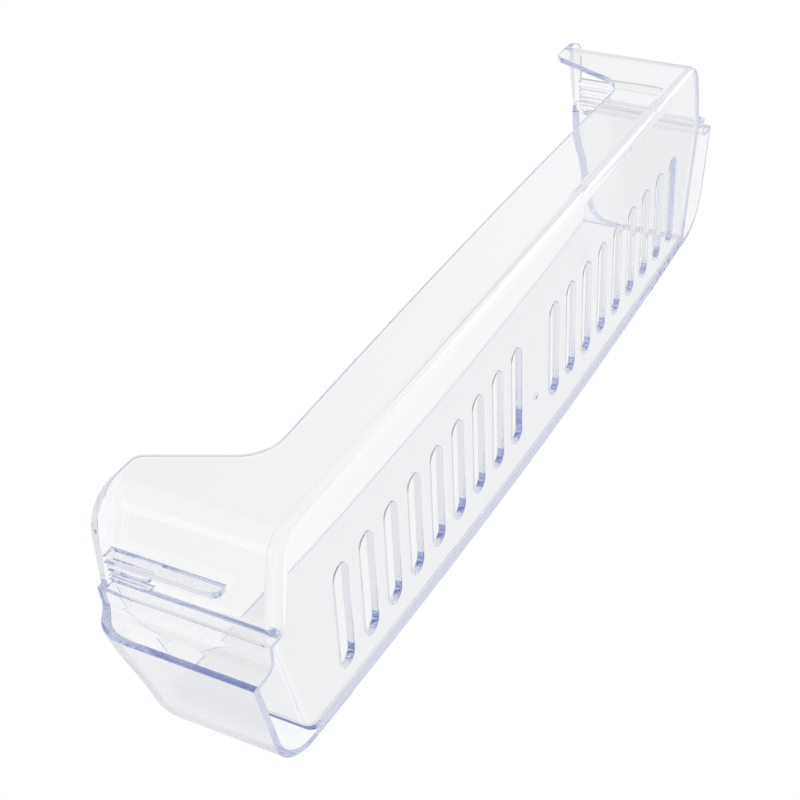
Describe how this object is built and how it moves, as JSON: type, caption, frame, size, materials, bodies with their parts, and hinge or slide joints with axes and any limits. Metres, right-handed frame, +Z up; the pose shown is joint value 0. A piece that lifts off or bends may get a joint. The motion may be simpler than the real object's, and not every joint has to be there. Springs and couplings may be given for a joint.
{
  "type": "refrigerator door shelf",
  "caption": "Clear moulded shelf for a refrigerator door: slotted floor, low back between raised ends, bowed front with hollow noses, clip rails on the ends",
  "frame": {"origin": "middle of the footprint, on the underside of the floor", "axes": "+X along the length, +Y towards the low back (the door), -Y towards the bowed front, +Z up"},
  "size_m": [0.44, 0.1024, 0.068],
  "materials": {
    "clear_plastic": "clear, colourless, polished"
  },
  "bodies": {
    "root": {"door_shelf": "clear_plastic"}
  },
  "joints": []
}
